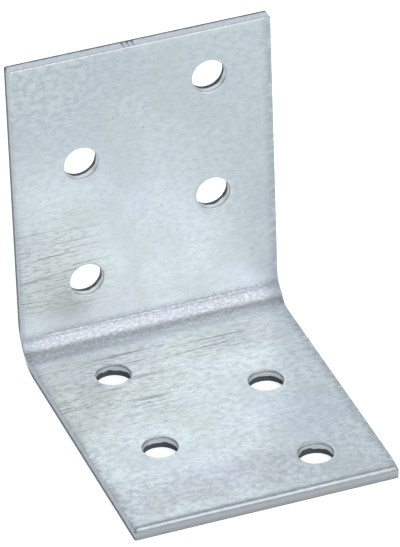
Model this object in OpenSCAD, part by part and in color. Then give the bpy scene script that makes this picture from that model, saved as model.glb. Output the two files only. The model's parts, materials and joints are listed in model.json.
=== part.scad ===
// Corner brace: one strip of galvanised sheet, punched and folded to a right angle.
// Millimetres. X runs across the width, the upright stands at the back (+Y),
// the base lies on Z = 0 and runs forward. Origin: middle of the base's underside.

/* [Overall] */
// Width across both legs
width = 40; // [30:0.5:80]
// Base leg, outside corner to free end
base_leg = 50; // [30:0.5:100]
// Upright leg, outside corner to free end
upright_leg = 50; // [30:0.5:100]
// Sheet thickness
sheet = 2; // [1.4:0.1:3]
// Radius inside the fold
fold_inside_r = 2.8; // [1.5:0.1:4]

/* [Holes] */
// Diameter of the smooth wall that the punch leaves
hole_d = 5.2; // [4:0.1:7]
// Distance between the two columns of holes
column_gap = 20; // [16:0.5:26]
// Distance along a leg from one hole to the next, in the other column
row_step = 10; // [6:0.5:14]
// Outside corner to the first hole
first_row = 12.25; // [10:0.25:15]
// Least distance from a hole's centre to a leg's free end
end_margin = 6.5; // [5:0.5:10]
// How far the whole pattern sits towards +X
pattern_shift = 0.3; // [0:0.1:1]

/* [Punched edges] */
// Width of the rolled-over edge round the strip, on the punch side
edge_roll_w = 0.9; // [0.4:0.1:1.4]
// Depth of that roll-over
edge_roll_h = 0.4; // [0.2:0.05:0.6]
// Corner radius at each leg's free end
corner_r = 0.6; // [0.3:0.1:3]
// Width of the roll-over round a hole's mouth
mouth_roll_w = 0.4; // [0.2:0.05:0.8]
// Depth of the roll-over round a hole's mouth
mouth_roll_h = 0.2; // [0.1:0.05:0.3]
// Height of the smooth wall below a hole's mouth
smooth_wall_h = 0.9; // [0.4:0.1:1]
// How much wider the torn part of a hole is at its far side, on the radius
tear_flare = 0.1; // [0.05:0.01:0.2]

/* [Hidden] */
$fn = 96;
fold_outside_r = fold_inside_r + sheet;
hole_r = hole_d / 2;
tear_h = sheet - mouth_roll_h - smooth_wall_h;
// a cut reaches this far past the faces it opens
over = 0.5;
// a roll-over crosses its face at a slight angle, so that no two surfaces only touch
cross = 0.005;
zinc = [0.78, 0.83, 0.86];

// Radius of the arc that leaves a face `w` from an edge and meets that edge `h` down.
function roll_r(w, h) = (w * w + h * h) / (2 * h);

// What a roll-over takes off a square edge at [0, 0], with the sheet at +x and -y.
module roll_section(w, h) {
    difference() {
        translate([-over, -h]) square([w + over, h + over]);
        translate([w, cross - roll_r(w, h)]) circle(r = roll_r(w, h));
    }
}

// The strip cut across: outer face on y = 0, punch side on y = sheet.
module strip_section() {
    difference() {
        translate([-width / 2, 0]) square([width, sheet]);
        for (side = [0, 1])
            mirror([side, 0])
                translate([-width / 2, sheet])
                    roll_section(edge_roll_w, edge_roll_h);
    }
}

// One punched hole, along Z, with the punch side on z = sheet.
module punched_hole() {
    translate([0, 0, -over]) cylinder(h = over, r = hole_r + tear_flare);
    cylinder(h = tear_h, r1 = hole_r + tear_flare, r2 = hole_r);
    cylinder(h = sheet + over, r = hole_r);
    translate([0, 0, sheet])
        rotate_extrude()
            intersection() {
                translate([hole_r, 0]) roll_section(mouth_roll_w, mouth_roll_h);
                translate([hole_r - over / 2, -sheet]) square([sheet * 2, sheet * 2]);
            }
}

// Every hole of a leg: rows alternate between the two columns, -X first.
module leg_holes(leg) {
    last_row = floor((leg - end_margin - first_row) / row_step);
    for (row = [0 : last_row]) {
        column = row % 2 == 0 ? -1 : 1;
        translate([pattern_shift + column * column_gap / 2, -first_row - row * row_step, 0])
            punched_hole();
    }
}

// Rounds one corner of a leg's free end; the corner is at [0, 0], the sheet at +x and +y.
module corner_cut() {
    translate([0, 0, -over])
        linear_extrude(sheet + 2 * over)
            difference() {
                translate([-over, -over]) square(over + corner_r);
                translate([corner_r, corner_r]) circle(r = corner_r);
            }
}

// A flat leg that runs along -Y from the outside corner, outer face on z = 0.
module leg(leg) {
    difference() {
        translate([0, -fold_outside_r, 0])
            rotate([90, 0, 0])
                linear_extrude(leg - fold_outside_r)
                    strip_section();
        translate([0, -leg, sheet])
            rotate([90, 0, 90])
                linear_extrude(width + 2 * over, center = true)
                    roll_section(edge_roll_w, edge_roll_h);
        for (side = [0, 1])
            mirror([side, 0, 0])
                translate([-width / 2, -leg, 0])
                    corner_cut();
        leg_holes(leg);
    }
}

// The quarter turn that joins the legs.
module fold() {
    translate([0, -fold_outside_r, fold_outside_r])
        rotate([0, 90, 0])
            rotate_extrude(angle = 90)
                translate([fold_outside_r, 0])
                    rotate(90)
                        strip_section();
}

module bracket() {
    color(zinc)
        translate([0, base_leg / 2, 0]) {
            leg(base_leg);
            fold();
            mirror([0, 1, 1]) leg(upright_leg);
        }
}

bracket();
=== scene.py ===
import json
import math

import bpy
import numpy as np
from mathutils import Matrix, Vector, noise


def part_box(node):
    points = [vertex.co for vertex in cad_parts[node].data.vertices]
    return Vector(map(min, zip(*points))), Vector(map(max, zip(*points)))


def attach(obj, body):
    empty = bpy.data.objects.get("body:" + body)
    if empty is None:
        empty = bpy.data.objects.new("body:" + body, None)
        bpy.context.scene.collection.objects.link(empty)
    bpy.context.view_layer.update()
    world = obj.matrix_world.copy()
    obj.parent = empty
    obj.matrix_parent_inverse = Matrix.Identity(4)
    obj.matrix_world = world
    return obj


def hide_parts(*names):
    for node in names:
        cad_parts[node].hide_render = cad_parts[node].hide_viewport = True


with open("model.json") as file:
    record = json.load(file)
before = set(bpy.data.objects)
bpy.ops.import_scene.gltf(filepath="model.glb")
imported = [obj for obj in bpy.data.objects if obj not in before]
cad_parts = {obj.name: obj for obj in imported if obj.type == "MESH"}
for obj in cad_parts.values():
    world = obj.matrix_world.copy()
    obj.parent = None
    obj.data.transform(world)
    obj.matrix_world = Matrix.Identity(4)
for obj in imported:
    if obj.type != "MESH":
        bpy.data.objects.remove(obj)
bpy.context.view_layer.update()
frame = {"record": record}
mounts = {mount["name"]: mount for mount in frame["record"]["mounts"]}
mm = 0.001


def toLinear(code):
    # "#rrggbb" as sRGB, to linear with an alpha of 1
    parts = [int(code[i:i + 2], 16) / 255 for i in (1, 3, 5)]
    return tuple(c / 12.92 if c <= 0.04045 else ((c + 0.055) / 1.055) ** 2.4 for c in parts) + (1.0,)


def addNode(tree, kind, settings=None, inputs=None):
    # a node with its settings, and its inputs as fixed values or as another node's output
    node = tree.nodes.new(kind)
    for name, value in (settings or {}).items():
        setattr(node, name, value)
    for key, value in (inputs or {}).items():
        if isinstance(value, bpy.types.NodeSocket):
            tree.links.new(value, node.inputs[key])
        else:
            node.inputs[key].default_value = value
    return node


# The brace is laid out as a flat strip and then folded.
# across = X, along = from the fold (minus on the base, plus on the upright), height = above the outer face.

brace = {
    "sheet": 2.0,
    "foldInside": 2.8,        # mm, radius of the fold's inner face
    "cornerRadius": 0.28,     # mm, at each leg's free corners
    "cornerReach": 0.6,       # mm, radius on which the roll turns those corners
    "roll": (1.9, 0.14, 0.12),   # mm: width and depth of the fall towards a cut edge, and its radius
    "rollFront": (1.5, 0.22, 0.52),   # the same at the base's front, cut by a duller blade
    "rollBlend": 3.0,                 # mm up each side, over which one becomes the other
    "mouthRoll": (0.95, 0.06, 0.12),  # the same round a hole's mouth
    "holeRun": 300.0,         # mm, so that a hole's wall shares no pattern with the cut edge
    "patch": 4.5,             # mm, half of the square that is laid in rings round a hole
    "step": 0.5,              # mm, usual spacing of the lines
    "edgeSteps": (0, 0.03, 0.07, 0.13, 0.2, 0.27, 0.35, 0.48, 0.66, 0.9, 1.2, 1.52, 1.9),   # mm from an edge
    "mouthSteps": (0.95, 0.72, 0.52, 0.36, 0.25, 0.15, 0.1, 0.06, 0.025),   # mm out from a hole's wall
    "outerSteps": (0.22, 0.45, 0.7, 0.95),   # the same on the outer face
    "foldSteps": 44,
    "tearBase": 1.0,          # mm above the outer face, where a hole's smooth wall turns to torn wall
    "tearUpright": 0.85,
    "tearFlare": 0.10,
    "tearDrift": 0.2,         # mm, how far that line strays
    "tearWander": 0.05,       # mm, how rough the torn wall is
    "tearEdge": 0.60,         # mm above the outer face, the same line on the cut edge round the base
    "tearSide": 0.90,         # up the upright's sides
    "tearTop": 0.36,          # and along the upright's top
    "tearRagged": 0.12,       # mm, how far the line strays there
    "edgeBands": ((0.8, 0.22), (0.5, 0.34), (0.25, 0.34), (0.04, 0.30)),   # share of the height, nick in mm
    "tornBands": ((0.97, 0.02), (0.75, 0.035), (0.5, 0.04), (0.25, 0.05)),   # share of it, mm in
    "tornIn": (0.03, 0.08),   # mm: how rough the torn edge is, and how far in it ends
    "bulgeOut": 0.30,         # mm, how far the fold's inner corner swells past the side
    "pinchIn": 0.16,          # mm, how far the outer corner draws in
    "swellPast": 1.6,         # mm past both ends of the fold, where that starts
    "swellDeep": 1.5,         # mm from the side, where it has mostly died out
    "swellLift": 0.04,
    "pressBand": 17.2,        # mm, half length of the mark that the press left in the fold
    "pressFacet": (44, 72),   # degrees round the fold between which the mark is flatter
    "pressDepth": 0.5,        # share of a full flat
    "groove": (0.90, 0.03, 0.08),    # share of the way round the fold, half width as such, depth in mm
    "slow": (13, 0.035),      # mm: how long and how high the sheet's slow waves are
    "nicks": (-2.25, -1.5, -0.75),   # across: knocks in the upright's top edge
    "nickHalf": 0.13,         # mm, half width of one
    "nickTorn": 0.22,         # mm deep below the torn line
    "nickSpan": (-3.0, 0.0),
    "nickStep": 0.125,
}
low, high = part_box("bracket")
halfWidth = high.x / mm
backY = high.y / mm
foldOut = brace["foldInside"] + brace["sheet"]
arcLength = (brace["foldInside"] + brace["sheet"] / 2) * math.pi / 2
baseLeg = (high.y - low.y) / mm - foldOut
uprightLeg = high.z / mm - foldOut
holeRadius = mounts["base_hole_1"]["dims"]["r_mm"]

holes = []   # (across, along) of each hole's centre
for name, mount in mounts.items():
    x, y, z = (c / mm for c in mount["pos_m"])
    if name.startswith("base_hole"):
        holes.append((x, y - (backY - foldOut)))
    if name.startswith("upright_hole"):
        holes.append((x, arcLength + z - foldOut))
print("holes at", [(round(a, 2), round(b, 2)) for a, b in holes])


def ripple(x, y, z=0.0):
    return noise.noise(Vector((x, y, z)))


def rollDrop(distance, roll):
    # how far the punched face falls at this distance from the edge
    reach, fall, tight = roll
    gentle = fall * max(0.0, 1 - distance / reach) ** 3
    inside = max(0.0, tight - distance)
    return gentle + tight - math.sqrt(max(0.0, tight * tight - inside * inside))


def runOf(start, end, step):
    count = max(1, round(abs(end - start) / step))
    return [start + (end - start) * k / count for k in range(1, count + 1)]


def linesBetween(stops, step):
    lines = [stops[0]]
    for start, end in zip(stops, stops[1:]):
        fine = (start, end) == brace["nickSpan"]
        lines += runOf(start, end, brace["nickStep"] if fine else step)
    return lines


def edgeRoll(x, w):
    # the roll of the nearest edge: the front's own runs right to its corners
    share = (w - alongEnds[0] - halfWidth + abs(x)) / brace["rollBlend"]
    share = min(1.0, max(0.0, share))
    share = share * share * (3 - 2 * share)
    pairs = zip(brace["roll"], brace["rollFront"])
    return tuple(front + (side - front) * share for side, front in pairs)


edgeSteps = list(brace["edgeSteps"])
patch, step = brace["patch"], brace["step"]
columns = sorted({round(h[0], 4) for h in holes})
acrossStops = sorted([-halfWidth + edgeSteps[-1], halfWidth - edgeSteps[-1], *brace["nickSpan"]]
                     + [c + s * patch for c in columns for s in (-1, 1)])
acrossLines = [-halfWidth + e for e in edgeSteps[:-1]] + linesBetween(acrossStops, step) \
    + [halfWidth - e for e in reversed(edgeSteps[:-1])]


def legLines(leg, distances):
    # lines along one leg, from the fold to its free end
    stops = [0, min(distances) - patch, max(distances) + patch, leg - edgeSteps[-1]]
    return linesBetween(stops, step) + [leg - e for e in reversed(edgeSteps[:-1])]


baseLines = legLines(baseLeg, [-h[1] for h in holes if h[1] < 0])
uprightLines = legLines(uprightLeg, [h[1] - arcLength for h in holes if h[1] > 0])
foldLines = [arcLength * k / brace["foldSteps"] for k in range(1, brace["foldSteps"])]
alongLines = [-d for d in reversed(baseLines)] + foldLines + [arcLength + d for d in uprightLines]
acrossLines, alongLines = np.array(acrossLines), np.array(alongLines)
alongEnds = (alongLines[0], alongLines[-1])


def edgeDistance(x, w):
    # distance to the nearest edge of the strip, rounded where two edges meet
    side = halfWidth - abs(x)
    end = min(w - alongEnds[0], alongEnds[1] - w)
    reach = brace["cornerReach"]
    if side < reach and end < reach:
        return max(0.0, reach - math.hypot(reach - side, reach - end))
    return min(side, end)


def roundCorner(x, w):
    # moves a place near a square corner of the grid to the same place near the round one
    r = brace["cornerRadius"]
    sense = 1 if w > arcLength else -1
    cx = halfWidth - r
    cw = (alongEnds[1] - r) if sense > 0 else (alongEnds[0] + r)
    px, pw = abs(x) - cx, (w - cw) * sense
    if px <= 0 or pw <= 0:
        return x, w
    share = max(px, pw) / math.hypot(px, pw)
    return math.copysign(cx + px * share, x), cw + pw * share * sense


places = []   # across, along, height
runs = []     # mm round the cut edge or the hole's wall
levels = []   # mm above the torn line on the cut edge, and above the outer face in a hole
sides = []    # 0 on the punch side, 1 on the outer face
quads, quadSlots = [], []
zincSlot, shearSlot, tornSlot = 0, 1, 2


def addPlace(x, w, v, side=0, run=0.0, level=1.0):
    places.append((x, w, v))
    runs.append(run)
    levels.append(level)
    sides.append(side)
    return len(places) - 1


def addQuads(ringA, ringB, slotIndex):
    count = len(ringA)
    for k in range(count):
        n = (k + 1) % count
        quads.append((ringA[k], ringA[n], ringB[n], ringB[k]))
        quadSlots.append(slotIndex)


def layGrid(side):
    # one face of the strip as a grid, with a square left open round each hole
    grid = -np.ones((len(acrossLines), len(alongLines)), int)
    squares = []
    for hx, hw in holes:
        i0, i1 = (int(np.argmin(abs(acrossLines - (hx + s * patch)))) for s in (-1, 1))
        j0, j1 = (int(np.argmin(abs(alongLines - (hw + s * patch)))) for s in (-1, 1))
        squares.append((i0, i1, j0, j1))
    for i, x in enumerate(acrossLines):
        for j, w in enumerate(alongLines):
            if any(i0 < i < i1 and j0 < j < j1 for i0, i1, j0, j1 in squares):
                continue
            v = 0.0
            if side == 0:
                v = brace["sheet"] - rollDrop(edgeDistance(x, w), edgeRoll(x, w))
            rx, rw = roundCorner(x, w)
            grid[i, j] = addPlace(rx, rw, v, side)
    for i in range(len(acrossLines) - 1):
        for j in range(len(alongLines) - 1):
            if any(i0 <= i < i1 and j0 <= j < j1 for i0, i1, j0, j1 in squares):
                continue
            corners = (grid[i, j], grid[i + 1, j], grid[i + 1, j + 1], grid[i, j + 1])
            quads.append(corners if side == 0 else corners[::-1])
            quadSlots.append(zincSlot)
    rings = []
    for i0, i1, j0, j1 in squares:
        middle = (j0 + j1) // 2
        ring = [grid[i1, j] for j in range(middle, j1)]
        ring += [grid[i, j1] for i in range(i1, i0, -1)]
        ring += [grid[i0, j] for j in range(j1, j0, -1)]
        ring += [grid[i, j0] for i in range(i0, i1)]
        ring += [grid[i1, j] for j in range(j0, middle)]
        rings.append(ring)
    last, top = len(acrossLines) - 1, len(alongLines) - 1
    outline = [grid[i, 0] for i in range(last)] + [grid[last, j] for j in range(top)] \
        + [grid[i, top] for i in range(last, 0, -1)] + [grid[0, j] for j in range(top, 0, -1)]
    return rings, outline


def layHole(number, upper, lower):
    # rings from the punch side's square, down the hole's wall, to the outer face's square
    hx, hw = holes[number]
    count = len(upper)
    angles = [2 * math.pi * k / count for k in range(count)]
    flatR = holeRadius + brace["mouthRoll"][0]
    seed = 7.3 * number + 2.1
    sheet, flare, drift, wander = (brace[n] for n in ("sheet", "tearFlare", "tearDrift", "tearWander"))
    tear = brace["tearBase"] if hw < 0 else brace["tearUpright"]

    def circle(radius, height, side=0, wander=0.0, drift=0.0):
        ring = []
        for a in angles:
            rough = ripple(3.2 * math.cos(a) + seed, 3.2 * math.sin(a), height * 2.5 + seed)
            coarse = ripple(1.1 * math.cos(a) + seed, 1.1 * math.sin(a), seed)
            r = radius + wander * rough
            v = height + drift * (rough + coarse)
            run = brace["holeRun"] + holeRadius * a
            ring.append(addPlace(hx + r * math.cos(a), hw + r * math.sin(a), v, side, run, v))
        return ring

    def blended(border, share, height, side):
        ring = []
        for a, index in zip(angles, border):
            bx, bw, _ = places[index]
            cx, cw = hx + flatR * math.cos(a), hw + flatR * math.sin(a)
            ring.append(addPlace(bx + (cx - bx) * share, bw + (cw - bw) * share, height, side))
        return ring

    rings = [(upper, zincSlot)]
    for share in (0.35, 0.7):
        rings.append((blended(upper, share, sheet, 0), zincSlot))
    for d in brace["mouthSteps"]:
        height = sheet - rollDrop(d, brace["mouthRoll"])
        rings.append((circle(holeRadius + d, height), zincSlot))
    mouth = sheet - rollDrop(0, brace["mouthRoll"])
    rings.append((circle(holeRadius, mouth), shearSlot))
    for share in (0.25, 0.5, 0.75):
        rings.append((circle(holeRadius, mouth + (tear - mouth) * share, drift=drift * share), shearSlot))
    rings.append((circle(holeRadius, tear, drift=drift), tornSlot))
    rings.append((circle(holeRadius + 0.04, tear - 0.05, drift=drift, wander=0.012), tornSlot))
    for share in (0.75, 0.5, 0.28, 0.1):
        rings.append((circle(holeRadius + flare * (1.15 - share), tear * share, wander=wander), tornSlot))
    rings.append((circle(holeRadius + flare * 1.2, 0.0, side=1, wander=0.03), zincSlot))
    for d in brace["outerSteps"]:
        rings.append((circle(holeRadius + d, 0.0, side=1), zincSlot))
    for share in (0.7, 0.35):
        rings.append((blended(lower, share, 0.0, 1), zincSlot))
    rings.append((lower, zincSlot))
    for (ringA, slotIndex), (ringB, _) in zip(rings, rings[1:]):
        addQuads(ringA, ringB, slotIndex)


def layEdge(upper, lower):
    # the cut edge round the strip: smooth under the roll-over, torn towards the outer face
    outline = np.array([places[k][:2] for k in upper])
    tangent = np.roll(outline, -1, 0) - np.roll(outline, 1, 0)
    outward = np.stack([tangent[:, 1], -tangent[:, 0]], 1)
    outward /= np.linalg.norm(outward, axis=1)[:, None]
    run = np.cumsum(np.linalg.norm(outline - np.roll(outline, 1, 0), axis=1))
    rim = np.array([places[k][2] for k in upper])
    atTop = outline[:, 1] > alongEnds[1] - 0.001
    tear = np.where(outline[:, 1] > arcLength, brace["tearSide"], brace["tearEdge"])
    tear = np.where(atTop, brace["tearTop"], tear)
    ragged = [ripple(x * 1.1 + 5, w * 1.1) + 0.6 * ripple(x * 3.1, w * 3.1) for x, w in outline]
    tear = tear + brace["tearRagged"] * np.array(ragged)
    half = brace["nickHalf"]
    knock = sum(np.exp(-((outline[:, 0] - nick) / half) ** 2) for nick in brace["nicks"]) * atTop
    rough, tuck = brace["tornIn"]
    for index, r, v, t in zip(upper, run, rim, tear):
        runs[index], levels[index] = r, v - t

    def band(height, inset, wander=0.0, knocked=0.0):
        ring = []
        for (x, w), (nx, nw), r, k, v, t in zip(outline, outward, run, knock, height, tear):
            back = inset + wander * ripple(x * 2.3 + 11, w * 2.3, v * 2) + knocked * k
            ring.append(addPlace(x - nx * back, w - nw * back, v, 0, r, v - t))
        return ring

    bands = [(upper, shearSlot)]
    for share, knocked in brace["edgeBands"]:
        bands.append((band(tear + (rim - tear) * share, 0.0, knocked=knocked), shearSlot))
    for share, inset in brace["tornBands"]:
        knocked = brace["nickTorn"] * share
        bands.append((band(tear * share, inset, wander=rough, knocked=knocked), shearSlot))
    for index, (x, w), (nx, nw), r, t in zip(lower, outline, outward, run, tear):
        places[index] = (x - nx * tuck, w - nw * tuck, 0.0)
        runs[index], levels[index] = r, -t
    bands.append((lower, zincSlot))
    for (ringA, slotIndex), (ringB, _) in zip(bands, bands[1:]):
        # the outline runs the other way round than a hole's rings do
        addQuads(ringA[::-1], ringB[::-1], slotIndex)


upperRings, upperOutline = layGrid(0)
lowerRings, lowerOutline = layGrid(1)
layEdge(upperOutline, lowerOutline)
for number in range(len(holes)):
    layHole(number, upperRings[number], lowerRings[number])
print("strip laid out:", len(places), "places,", len(quads), "quads")


def smoothStep(a, b, t):
    t = np.clip((t - a) / (b - a), 0, 1)
    return t * t * (3 - 2 * t)


def workTheFold(flat):
    # folding swells the inner corner and draws in the outer one, and the press leaves its mark
    x, w, v = flat.T.copy()
    past = brace["swellPast"]
    bell = np.sin(math.pi * np.clip((w + past) / (arcLength + 2 * past), 0, 1)) ** 2
    nearSide = np.exp(-(np.clip(halfWidth - abs(x), 0, None) / brace["swellDeep"]) ** 2)
    inner = v / brace["sheet"]
    x += np.sign(x) * bell * nearSide * (brace["bulgeOut"] * inner - brace["pinchIn"] * (1 - inner))
    share = w / arcLength
    length = smoothStep(brace["pressBand"] + 1.0, brace["pressBand"] - 1.5, abs(x))
    start, end = (math.radians(a) for a in brace["pressFacet"])
    turn = np.clip(share * math.pi / 2, start, end)
    flatten = brace["foldInside"] * (1 - math.cos((end - start) / 2) / np.cos(turn - (start + end) / 2))
    middle, half, deep = brace["groove"]
    groove = np.exp(-((share - middle) / half) ** 2) * length
    lift = brace["swellLift"] * bell * nearSide
    v += inner ** 4 * (brace["pressDepth"] * flatten * length - deep * groove + lift)
    size, high = brace["slow"]
    slow = np.array([ripple(a / size, b / size, 3.7) for a, b in flat[:, :2]])
    v += high * slow * inner ** 4
    return np.stack([x, w, v], 1)


def foldUp(flat):
    # strip places to the frame, in metres
    x, w, v = flat.T
    angle = np.clip(w / arcLength, 0, 1) * math.pi / 2
    radius = foldOut - v
    y = backY - foldOut + radius * np.sin(angle) + np.minimum(w, 0)
    z = foldOut - radius * np.cos(angle) + np.maximum(w - arcLength, 0)
    return np.stack([x, y, z], 1) * mm


flatPlaces = np.array(places)
points = foldUp(workTheFold(flatPlaces))
mesh = bpy.data.meshes.new("foldedStrip")
mesh.from_pydata(points.tolist(), [], quads)
mesh.polygons.foreach_set("material_index", quadSlots)
mesh.polygons.foreach_set("use_smooth", [True] * len(quads))
layer = mesh.uv_layers.new(name="stripPlace")
# one unit is 100 mm: across and along on the two faces, run and level on the walls
onFace = flatPlaces[:, :2] / 100 + 0.5
onFace[:, 0] += np.array(sides)
onWall = np.stack([np.array(runs) / 100, np.array(levels) / 100 + 0.5], 1)
corner = np.zeros(len(mesh.loops), int)
mesh.loops.foreach_get("vertex_index", corner)
isFace = np.repeat(np.array(quadSlots) == zincSlot, 4)[:, None]
stripPlace = np.where(isFace, onFace[corner], onWall[corner])
layer.data.foreach_set("uv", stripPlace.astype(np.float32).ravel())
mesh.set_sharp_from_angle(angle=math.radians(38))
mesh.validate()
mesh.update()
strip = bpy.data.objects.new("foldedStrip", mesh)
bpy.context.scene.collection.objects.link(strip)
print("strip folded")


def bareMaterial(name):
    material = bpy.data.materials.new(name)
    material.use_nodes = True
    material.node_tree.nodes.clear()
    return material, material.node_tree


# Galvanised steel sheet: dipped in zinc and dulled by air, so a pale, satin blue-grey with a faint bloom.
# The rolls left fine lines and dashes across it, the press crushed the coat in the fold, knocks left specks.
# Painted shade darkens the fold's low part, its crease and its ends, the rolled edges, and the base's front.

foldEnd = arcLength   # mm along the strip, where the upright starts
frontEnd = alongEnds[0]   # and where the base stops
zinc = {
    "paint": "#e8edef",
    "metallic": 0.92,
    "roughness": (0.32, 0.39),
    "bumpDepth": 0.018,   # mm
    "patterns": {   # mm across the strip, mm along it, detail, ruggedness
        "bloom": (1.2, 0.9, 3.0, 0.68),     # drawn coarser than the coat's own grain
        "cloud": (9.0, 7.0, 2.0, 0.5),
        "drift": (15.0, 11.0, 1.0, 0.5),
        "grain": (0.34, 0.26, 1.0, 0.5),      # the real grain is finer and would not show
        "lines": (15.0, 0.24, 1.0, 0.5),     # drawn coarser than the rolls' own lines
        "dashes": (1.5, 0.24, 2.0, 0.6),
        "crushed": (0.60, 0.45, 2.0, 0.65),
    },
    # what holds elsewhere, then windows of (axis, where it starts, where it is full), in mm of strip
    "zones": {
        "mottled": (0.45, [[("along", 1.0, -1.5)],
                           [("across", 20, -16), ("along", 18, 46)]]),
        "lined": (0.06, [[("across", -3, -14), ("along", foldEnd + 1.5, foldEnd + 5),
                          ("along", foldEnd + 24, foldEnd + 12)],
                         [("across", 19, 13), ("along", -1.0, -3.2), ("along", -11, -7)],
                         [("across", 8, -6), ("along", -1.0, -3.2), ("along", -30, -12)]]),
        "fold": (0.0, [[("along", 2.2, 3.0), ("along", foldEnd - 0.2, foldEnd - 1.2)]]),
        # painted shade: the low part of the fold, where it leaves the base, darkened
        "shadedValley": (0.0, [[("along", 0.0, 0.9), ("along", 3.1, 2.2)]]),
        # painted shade: the fold darkened at both its ends, near the sides
        "ends": (0.0, [[("across", side * start, side * full), ("along", 1.4, 2.6),
                        ("along", foldEnd + 0.8, foldEnd - 0.6)]
                       for side, start, full in ((1, 17.0, 19.0), (-1, 17.4, 19.4))]),
        # painted shade: darker along the rolled right edges and the base's left edge, which are also made
        # rougher
        "edge": (0.0, [[("across", 18.1, 19.7)],
                       [("across", -18.2, -20.6), ("along", 1.0, -1.0)]]),
        # painted shade: a broad darker band on the base's left part, a few mm back from its front edge
        "front": (0.0, [[("across", 16, 4), ("along", frontEnd + 1.0, frontEnd + 3.5),
                         ("along", frontEnd + 13, frontEnd + 8)]]),
        # painted shade: darker paint on the base's front roll, dimming its highlight
        "rim": (0.0, [[("along", frontEnd + 0.55, frontEnd + 0.15)]]),
        # painted shade: a dark line along the groove at the top of the fold, and where the fold meets the
        # base on the left
        "shadedCrease": (0.0, [[("across", -19.8, -17.5), ("across", 19.8, 17.5),
                          ("along", foldEnd - 1.5, foldEnd - 0.6), ("along", foldEnd + 0.9, foldEnd - 0.3)],
                         [("across", 8, -19), ("along", -1.2, 0.0), ("along", 1.6, 0.4)]]),
    },
    "coats": [   # colour, pattern, level where it starts and is full, share, zone, rise in the bump
        ("#bcc4c9", "bloom", 0.56, 0.36, 0.50, "mottled", -0.35),
        ("#f8fafb", "bloom", 0.54, 0.70, 0.42, "mottled", 0.25),
        ("#dde3dd", "cloud", 0.48, 0.64, 0.40, None, 0.0),
        ("#dbdde8", "drift", 0.48, 0.62, 0.35, None, 0.0),
        ("#d5d5c8", "cloud", 0.0, 0.3, 0.32, "lined", 0.0),   # a trace of oil in the rolls' lines
        ("#a9b0b5", "grain", 0.50, 0.30, 0.12, "mottled", -0.3),
        ("#a2aaaf", "dashes", 0.50, 0.32, 0.14, "mottled", -0.3),
        ("#8b9499", "dashes", 0.50, 0.30, 0.46, "lined", -0.4),
        ("#6f787e", "lines", 0.37, 0.26, 0.68, "lined", -0.6),
        ("#a9acba", "crushed", 0.55, 0.33, 0.38, "fold", -0.8),
        ("#f8f8fd", "crushed", 0.53, 0.66, 0.36, "fold", 0.6),
        # painted shade in the fold's low part, with light specks of grain over it
        ("#9fa2ae", "crushed", 0.66, 0.36, 0.42, "shadedValley", -0.7),
        ("#eeeff5", "crushed", 0.56, 0.72, 0.25, "shadedValley", 0.4),
        # painted shade along the fold's crease
        ("#a6a9b4", "crushed", 0.80, 0.40, 0.55, "shadedCrease", -0.3),
        # painted shade at the fold's two ends
        ("#98a3aa", "cloud", 0.0, 0.4, 0.55, "ends", 0.0),
        # painted shade along the rolled edges
        ("#a4aab1", "bloom", 0.80, 0.40, 0.46, "edge", 0.0),
        # painted shade near the base's front
        ("#b3b2bd", "bloom", 0.85, 0.25, 0.40, "front", -0.1),
        # painted shade over the front roll's highlight
        ("#9ca2a8", "cloud", 0.0, 0.3, 0.62, "rim", 0.0),
    ],
    "dull": ("#b4b7c2", 0.62, 0.14),   # the crushed coat as a whole: colour, share and added roughness
    "edgeRough": 0.06,
    "specks": {"spacing": 2.3, "size": (0.20, 0.09), "kept": (0.90, 1.0), "colour": "#79828a", "share": 0.5},
    "marks": [   # across, along, half length and half width in mm, turn in degrees, share
        (-7.3, -16.2, 0.26, 0.16, 0, 0.85), (-9.3, -16.5, 1.3, 0.10, 3, 0.45),
        (4.6, -5.9, 9.6, 0.10, -5, 0.55), (-11.4, -4.1, 5.6, 0.10, -3, 0.45),
        (-15.5, -8.8, 2.7, 0.12, 0, 0.55), (-15.2, -13.3, 4.3, 0.10, -6, 0.40),
        (11.1, -35.5, 0.22, 0.17, 0, 0.75), (-17.1, 15.3, 2.6, 0.12, -2, 0.60),
        (-16.0, 18.7, 2.6, 0.10, -3, 0.50), (-10.2, 49.9, 1.8, 0.10, 2, 0.40),
        (-4.0, 28.3, 0.3, 0.14, 20, 0.40),
    ],
    "markColour": "#5f686e",
}


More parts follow.
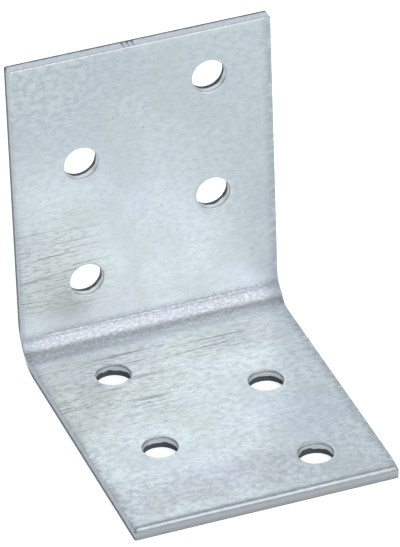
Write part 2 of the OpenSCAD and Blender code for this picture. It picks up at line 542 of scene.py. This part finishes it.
def galvanisedSheet():
    material, tree = bareMaterial("galvanisedSteelRolled")
    place = addNode(tree, "ShaderNodeTexCoord")
    stripMm = addNode(tree, "ShaderNodeVectorMath", {"operation": "MULTIPLY_ADD"},
                      {0: place.outputs["UV"], 1: (100, 100, 0), 2: (-50, -50, 0)}).outputs[0]
    axes = addNode(tree, "ShaderNodeSeparateXYZ", None, {0: stripMm})
    axis = {"across": axes.outputs[0], "along": axes.outputs[1]}

    patterns = {}
    for name, (sizeX, sizeW, detail, rugged) in zinc["patterns"].items():
        scaled = addNode(tree, "ShaderNodeVectorMath", {"operation": "MULTIPLY"},
                         {0: stripMm, 1: (1 / sizeX, 1 / sizeW, 0)})
        patterns[name] = addNode(tree, "ShaderNodeTexNoise", {"noise_dimensions": "2D"}, {
            "Vector": scaled.outputs[0], "Scale": 1.0, "Detail": detail, "Roughness": rugged}).outputs[0]

    zones = {}
    for name, (elsewhere, windows) in zinc["zones"].items():
        share = elsewhere
        for window in windows:
            inside = 1.0
            for axisName, start, full in window:
                ramp = addNode(tree, "ShaderNodeMapRange", {"interpolation_type": "SMOOTHSTEP"},
                               {0: axis[axisName], 1: start, 2: full})
                inside = addNode(tree, "ShaderNodeMath", {"operation": "MULTIPLY"},
                                 {0: inside, 1: ramp.outputs[0]}).outputs[0]
            share = addNode(tree, "ShaderNodeMath", {"operation": "MAXIMUM"},
                            {0: share, 1: inside}).outputs[0]
        zones[name] = share

    dullColour, dullShare, dullRough = zinc["dull"]
    crushed = addNode(tree, "ShaderNodeMath", {"operation": "MULTIPLY"}, {0: zones["fold"], 1: dullShare})
    colour = addNode(tree, "ShaderNodeMix", {"data_type": "RGBA"}, {
        0: crushed.outputs[0], 6: toLinear(zinc["paint"]), 7: toLinear(dullColour)}).outputs[2]
    height = 0.0
    for paint, pattern, start, full, most, zone, rise in zinc["coats"]:
        share = addNode(tree, "ShaderNodeMapRange", {"interpolation_type": "SMOOTHSTEP"},
                        {0: patterns[pattern], 1: start, 2: full, 4: most}).outputs[0]
        if zone:
            share = addNode(tree, "ShaderNodeMath", {"operation": "MULTIPLY"},
                            {0: share, 1: zones[zone]}).outputs[0]
        colour = addNode(tree, "ShaderNodeMix", {"data_type": "RGBA"},
                         {0: share, 6: colour, 7: toLinear(paint)}).outputs[2]
        height = addNode(tree, "ShaderNodeMath", {"operation": "MULTIPLY_ADD"},
                         {0: share, 1: rise, 2: height}).outputs[0]

    facts = zinc["specks"]
    cells = addNode(tree, "ShaderNodeTexVoronoi", {"voronoi_dimensions": "2D"},
                    {"Vector": stripMm, "Scale": 1 / facts["spacing"], "Randomness": 1.0})
    near = addNode(tree, "ShaderNodeMapRange", {"interpolation_type": "SMOOTHSTEP"}, {
        0: cells.outputs["Distance"], 1: facts["size"][0] / facts["spacing"],
        2: facts["size"][1] / facts["spacing"], 4: facts["share"]})
    pick = addNode(tree, "ShaderNodeSeparateColor", None, {0: cells.outputs["Color"]})
    kept = addNode(tree, "ShaderNodeMapRange", None,
                   {0: pick.outputs[0], 1: facts["kept"][0], 2: facts["kept"][1]})
    speck = addNode(tree, "ShaderNodeMath", {"operation": "MULTIPLY"},
                    {0: near.outputs[0], 1: kept.outputs[0]}).outputs[0]
    colour = addNode(tree, "ShaderNodeMix", {"data_type": "RGBA"},
                     {0: speck, 6: colour, 7: toLinear(facts["colour"])}).outputs[2]
    height = addNode(tree, "ShaderNodeMath", {"operation": "SUBTRACT"}, {0: height, 1: speck}).outputs[0]

    for x, w, halfLength, halfMark, turn, most in zinc["marks"]:
        turned = addNode(tree, "ShaderNodeVectorRotate", {"rotation_type": "Z_AXIS"}, {
            "Vector": stripMm, "Center": (x, w, 0), "Angle": math.radians(turn)})
        away = addNode(tree, "ShaderNodeVectorMath", {"operation": "MULTIPLY_ADD"}, {
            0: turned.outputs[0], 1: (1 / halfLength, 1 / halfMark, 0),
            2: (-x / halfLength, -w / halfMark, 0)})
        length = addNode(tree, "ShaderNodeVectorMath", {"operation": "LENGTH"}, {0: away.outputs[0]})
        worn = addNode(tree, "ShaderNodeMapRange", {"interpolation_type": "SMOOTHSTEP"},
                       {0: patterns["dashes"], 1: 0.35, 2: 0.55, 3: most * 0.3, 4: most})
        share = addNode(tree, "ShaderNodeMapRange", {"interpolation_type": "SMOOTHSTEP"},
                        {0: length.outputs["Value"], 1: 1.25, 2: 0.5, 4: worn.outputs[0]}).outputs[0]
        colour = addNode(tree, "ShaderNodeMix", {"data_type": "RGBA"},
                         {0: share, 6: colour, 7: toLinear(zinc["markColour"])}).outputs[2]
        height = addNode(tree, "ShaderNodeMath", {"operation": "SUBTRACT"}, {0: height, 1: share}).outputs[0]

    smooth, rough = zinc["roughness"]
    dulled = addNode(tree, "ShaderNodeMapRange", None,
                     {0: patterns["cloud"], 1: 0.35, 2: 0.65, 3: smooth, 4: rough})
    roughness = addNode(tree, "ShaderNodeMath", {"operation": "MULTIPLY_ADD"},
                        {0: zones["fold"], 1: dullRough, 2: dulled.outputs[0]})
    roughness = addNode(tree, "ShaderNodeMath", {"operation": "MULTIPLY_ADD"},
                        {0: zones["edge"], 1: zinc["edgeRough"], 2: roughness.outputs[0]})
    bump = addNode(tree, "ShaderNodeBump", None,
                   {"Strength": 1.0, "Distance": zinc["bumpDepth"] * mm, "Height": height})
    surface = addNode(tree, "ShaderNodeBsdfPrincipled", None, {
        "Base Color": colour, "Metallic": zinc["metallic"], "Roughness": roughness.outputs[0],
        "Normal": bump.outputs[0]})
    addNode(tree, "ShaderNodeOutputMaterial", None, {0: surface.outputs[0]})
    return material


# Galvanised cut edge: sheared before it was dipped, so bright and smooth near the punch side, and grey
# and grainy where the steel tore, towards the outer face.

shear = {
    "pale": "#e9ecef",
    "deep": "#d8dce0",
    "broken": ("#a2a7ac", "#868c91"),
    "metallic": 0.92,
    "coats": [   # colour, share, and where round the outline or the hole it starts and is full, in mm
        ("#c8c7c7", 0.85, 40.3, 39.9),     # painted shade: the base's front cut face in an even, darker grey
        ("#fbfcfd", 0.80, 299.0, 299.9),   # the punch burnished the holes' walls
    ],
    "brokenLevel": (0.05, -0.05),   # mm above the line where the smooth wall turns to torn wall
    "brokenRough": 0.15,
    "rim": ("#7d848a", 0.50),       # a darker line under a hole's mouth, where the punch entered
    "rimLevel": (1.58, 1.70),       # mm above the outer face
    "grit": 0.20,                   # mm
    "roughness": (0.34, 0.42),
    "scoring": (0.45, 0.8),         # mm round the edge, mm down it
    "bumpDepth": 0.003,
}


def shearedEdge():
    material, tree = bareMaterial("galvanisedSteelSheared")
    place = addNode(tree, "ShaderNodeTexCoord")
    width, depth = shear["scoring"]
    wallMm = addNode(tree, "ShaderNodeVectorMath", {"operation": "MULTIPLY_ADD"},
                     {0: place.outputs["UV"], 1: (100, 100, 0), 2: (0, -50, 0)}).outputs[0]
    scaled = addNode(tree, "ShaderNodeVectorMath", {"operation": "MULTIPLY"},
                     {0: wallMm, 1: (1 / width, 1 / depth, 0)})
    score = addNode(tree, "ShaderNodeTexNoise", {"noise_dimensions": "2D"},
                    {"Vector": scaled.outputs[0], "Scale": 1.0, "Detail": 3.0, "Roughness": 0.6}).outputs[0]
    share = addNode(tree, "ShaderNodeMapRange", None, {0: score, 1: 0.3, 2: 0.65})
    colour = addNode(tree, "ShaderNodeMix", {"data_type": "RGBA"},
                     {0: share.outputs[0], 6: toLinear(shear["deep"]), 7: toLinear(shear["pale"])})
    axes = addNode(tree, "ShaderNodeSeparateXYZ", None, {0: wallMm})
    start, full = shear["brokenLevel"]
    broken = addNode(tree, "ShaderNodeMapRange", {"interpolation_type": "SMOOTHSTEP"},
                     {0: axes.outputs[1], 1: start, 2: full}).outputs[0]
    scaled = addNode(tree, "ShaderNodeVectorMath", {"operation": "MULTIPLY"},
                     {0: wallMm, 1: (1 / shear["grit"],) * 3})
    grit = addNode(tree, "ShaderNodeTexNoise", {"noise_dimensions": "2D"},
                   {"Vector": scaled.outputs[0], "Scale": 1.0, "Detail": 3.0, "Roughness": 0.6}).outputs[0]
    share = addNode(tree, "ShaderNodeMapRange", None, {0: grit, 1: 0.35, 2: 0.65})
    tornColour = addNode(tree, "ShaderNodeMix", {"data_type": "RGBA"}, {
        0: share.outputs[0], 6: toLinear(shear["broken"][1]), 7: toLinear(shear["broken"][0])})
    colour = addNode(tree, "ShaderNodeMix", {"data_type": "RGBA"},
                     {0: broken, 6: colour.outputs[2], 7: tornColour.outputs[2]})
    for paint, most, start, full in shear["coats"]:
        share = addNode(tree, "ShaderNodeMapRange", None,
                        {0: axes.outputs[0], 1: start, 2: full, 4: most})
        colour = addNode(tree, "ShaderNodeMix", {"data_type": "RGBA"},
                         {0: share.outputs[0], 6: colour.outputs[2], 7: toLinear(paint)})
    rimColour, most = shear["rim"]
    start, full = shear["rimLevel"]
    atRim = addNode(tree, "ShaderNodeMapRange", None,
                    {0: axes.outputs[1], 1: start, 2: full, 4: most})
    colour = addNode(tree, "ShaderNodeMix", {"data_type": "RGBA"},
                     {0: atRim.outputs[0], 6: colour.outputs[2], 7: toLinear(rimColour)})
    smooth, rough = shear["roughness"]
    roughness = addNode(tree, "ShaderNodeMapRange", None, {0: score, 3: rough, 4: smooth})
    roughness = addNode(tree, "ShaderNodeMath", {"operation": "MULTIPLY_ADD"},
                        {0: broken, 1: shear["brokenRough"], 2: roughness.outputs[0]})
    bump = addNode(tree, "ShaderNodeBump", None,
                   {"Strength": 1.0, "Distance": shear["bumpDepth"] * mm, "Height": score})
    surface = addNode(tree, "ShaderNodeBsdfPrincipled", None, {
        "Base Color": colour.outputs[2], "Metallic": shear["metallic"], "Roughness": roughness.outputs[0],
        "Normal": bump.outputs[0]})
    addNode(tree, "ShaderNodeOutputMaterial", None, {0: surface.outputs[0]})
    return material


# Torn steel under a thin coat of zinc: where the punch broke through, so coarse, dark and hardly shiny.

torn = {
    "pale": "#83898e",
    "deep": "#43494d",
    "metallic": 0.8,
    "roughness": 0.62,
    "grit": 0.28,        # mm
    "bumpDepth": 0.04,   # mm
}


def tornEdge():
    material, tree = bareMaterial("galvanisedSteelTorn")
    place = addNode(tree, "ShaderNodeTexCoord")
    scaled = addNode(tree, "ShaderNodeVectorMath", {"operation": "MULTIPLY"},
                     {0: place.outputs["UV"], 1: (100 / torn["grit"],) * 3})
    grit = addNode(tree, "ShaderNodeTexNoise", {"noise_dimensions": "2D"},
                   {"Vector": scaled.outputs[0], "Scale": 1.0, "Detail": 4.0, "Roughness": 0.7}).outputs[0]
    colour = addNode(tree, "ShaderNodeMix", {"data_type": "RGBA"},
                     {0: grit, 6: toLinear(torn["deep"]), 7: toLinear(torn["pale"])})
    bump = addNode(tree, "ShaderNodeBump", None,
                   {"Strength": 1.0, "Distance": torn["bumpDepth"] * mm, "Height": grit})
    surface = addNode(tree, "ShaderNodeBsdfPrincipled", None, {
        "Base Color": colour.outputs[2], "Metallic": torn["metallic"], "Roughness": torn["roughness"],
        "Normal": bump.outputs[0]})
    addNode(tree, "ShaderNodeOutputMaterial", None, {0: surface.outputs[0]})
    return material


for material in (galvanisedSheet(), shearedEdge(), tornEdge()):
    strip.data.materials.append(material)
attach(strip, "root")
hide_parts("bracket")
print("finishes on")

studio = {
    "floorPaint": "#e9eff1",
    "floorGlow": (0.03, 0.62),   # in reflections, and straight to the camera, where the floor shows white
    "glowColour": "#fbfdff",
    "airColour": "#f2f6f9",
    "airStrength": 0.42,
    "airShown": 1.0,
    "aim": (0.0, 0.005, 0.015),
    "lights": {   # watts, metres and degrees; azimuth 0 is in front of the brace
        "front": {"power": 9.1, "colour": "#f9fbfd", "size": (1.9, 1.05),
                  "azimuth": 16, "elevation": 33, "away": 1.2, "mirrored": True},
        "behind": {"power": 3.2, "colour": "#e2effb", "size": (2.4, 0.8),
                   "azimuth": 178, "elevation": 33, "away": 1.3, "mirrored": True},
        "above": {"power": 8.0, "colour": "#f6fbff", "size": (2.4, 2.4),
                  "azimuth": 0, "elevation": 89, "away": 2.0, "mirrored": False},   # it only lights the floor
    },
}

reach, under = 6.0, -0.00002   # metres
floorMesh = bpy.data.meshes.new("paleFloor")
floorCorners = [(a * reach, b * reach, under) for a, b in ((-1, -1), (1, -1), (1, 1), (-1, 1))]
floorMesh.from_pydata(floorCorners, [], [(0, 1, 2, 3)])
floorObject = bpy.data.objects.new("paleFloor", floorMesh)
bpy.context.scene.collection.objects.link(floorObject)
floorFinish, tree = bareMaterial("paintedBoardMatt")   # matt white board: no gloss, hides its own grain
path = addNode(tree, "ShaderNodeLightPath")
glow = addNode(tree, "ShaderNodeMapRange", None,
               {0: path.outputs["Is Camera Ray"], 3: studio["floorGlow"][0], 4: studio["floorGlow"][1]})
painted = addNode(tree, "ShaderNodeBsdfPrincipled", None, {
    "Base Color": toLinear(studio["floorPaint"]), "Roughness": 0.9, "Specular IOR Level": 0.1,
    "Emission Color": toLinear(studio["glowColour"]), "Emission Strength": glow.outputs[0]})
addNode(tree, "ShaderNodeOutputMaterial", None, {0: painted.outputs[0]})
floorMesh.materials.append(floorFinish)

world = bpy.data.worlds.new("studioAir")
world.use_nodes = True
tree = world.node_tree
tree.nodes.clear()
path = addNode(tree, "ShaderNodeLightPath")
strength = addNode(tree, "ShaderNodeMapRange", None,
                   {0: path.outputs["Is Camera Ray"], 3: studio["airStrength"], 4: studio["airShown"]})
air = addNode(tree, "ShaderNodeBackground", None,
              {"Color": toLinear(studio["airColour"]), "Strength": strength.outputs[0]})
addNode(tree, "ShaderNodeOutputWorld", None, {0: air.outputs[0]})
bpy.context.scene.world = world


def directionFrom(azimuth, elevation):
    a, e = math.radians(azimuth), math.radians(elevation)
    return Vector((math.sin(a) * math.cos(e), -math.cos(a) * math.cos(e), math.sin(e)))


for name, facts in studio["lights"].items():
    data = bpy.data.lights.new(name + "Light", "AREA")
    data.shape = "RECTANGLE"
    data.size, data.size_y = facts["size"]
    data.energy = facts["power"]
    data.color = toLinear(facts["colour"])[:3]
    lamp = bpy.data.objects.new(name + "Light", data)
    bpy.context.scene.collection.objects.link(lamp)
    back = directionFrom(facts["azimuth"], facts["elevation"])
    lamp.location = Vector(studio["aim"]) + back * facts["away"]
    lamp.rotation_euler = (-back).to_track_quat("-Z", "Y").to_euler()
    lamp.visible_camera = False
    lamp.visible_glossy = facts["mirrored"]

view = {   # degrees, metres, and millimetres for pan and target
    "azimuth": -19.107, "elevation": 33.117, "roll": -2.117, "away": 0.87042, "pan": (2.971, 3.120),
    "lens": 396.21, "target": (0.0, 10.0, 15.0),
}
back = directionFrom(view["azimuth"], view["elevation"])
right = (-back).cross(Vector((0, 0, 1))).normalized()
up = right.cross(-back)
roll = math.radians(view["roll"])
imageRight = right * math.cos(roll) + up * math.sin(roll)
imageUp = up * math.cos(roll) - right * math.sin(roll)
cameraData = bpy.data.cameras.new("camera")
cameraData.sensor_width = 36
cameraData.lens = view["lens"]
cameraData.clip_start, cameraData.clip_end = 0.01, 50
camera = bpy.data.objects.new("camera", cameraData)
bpy.context.scene.collection.objects.link(camera)
centre = (Vector(view["target"]) + imageRight * view["pan"][0] + imageUp * view["pan"][1]) * mm
pose = Matrix((imageRight, imageUp, back)).transposed().to_4x4()
pose.translation = centre + back * view["away"]
camera.matrix_world = pose
bpy.context.scene.camera = camera
bpy.context.scene.view_settings.view_transform = "Standard"
print("camera and lights set")
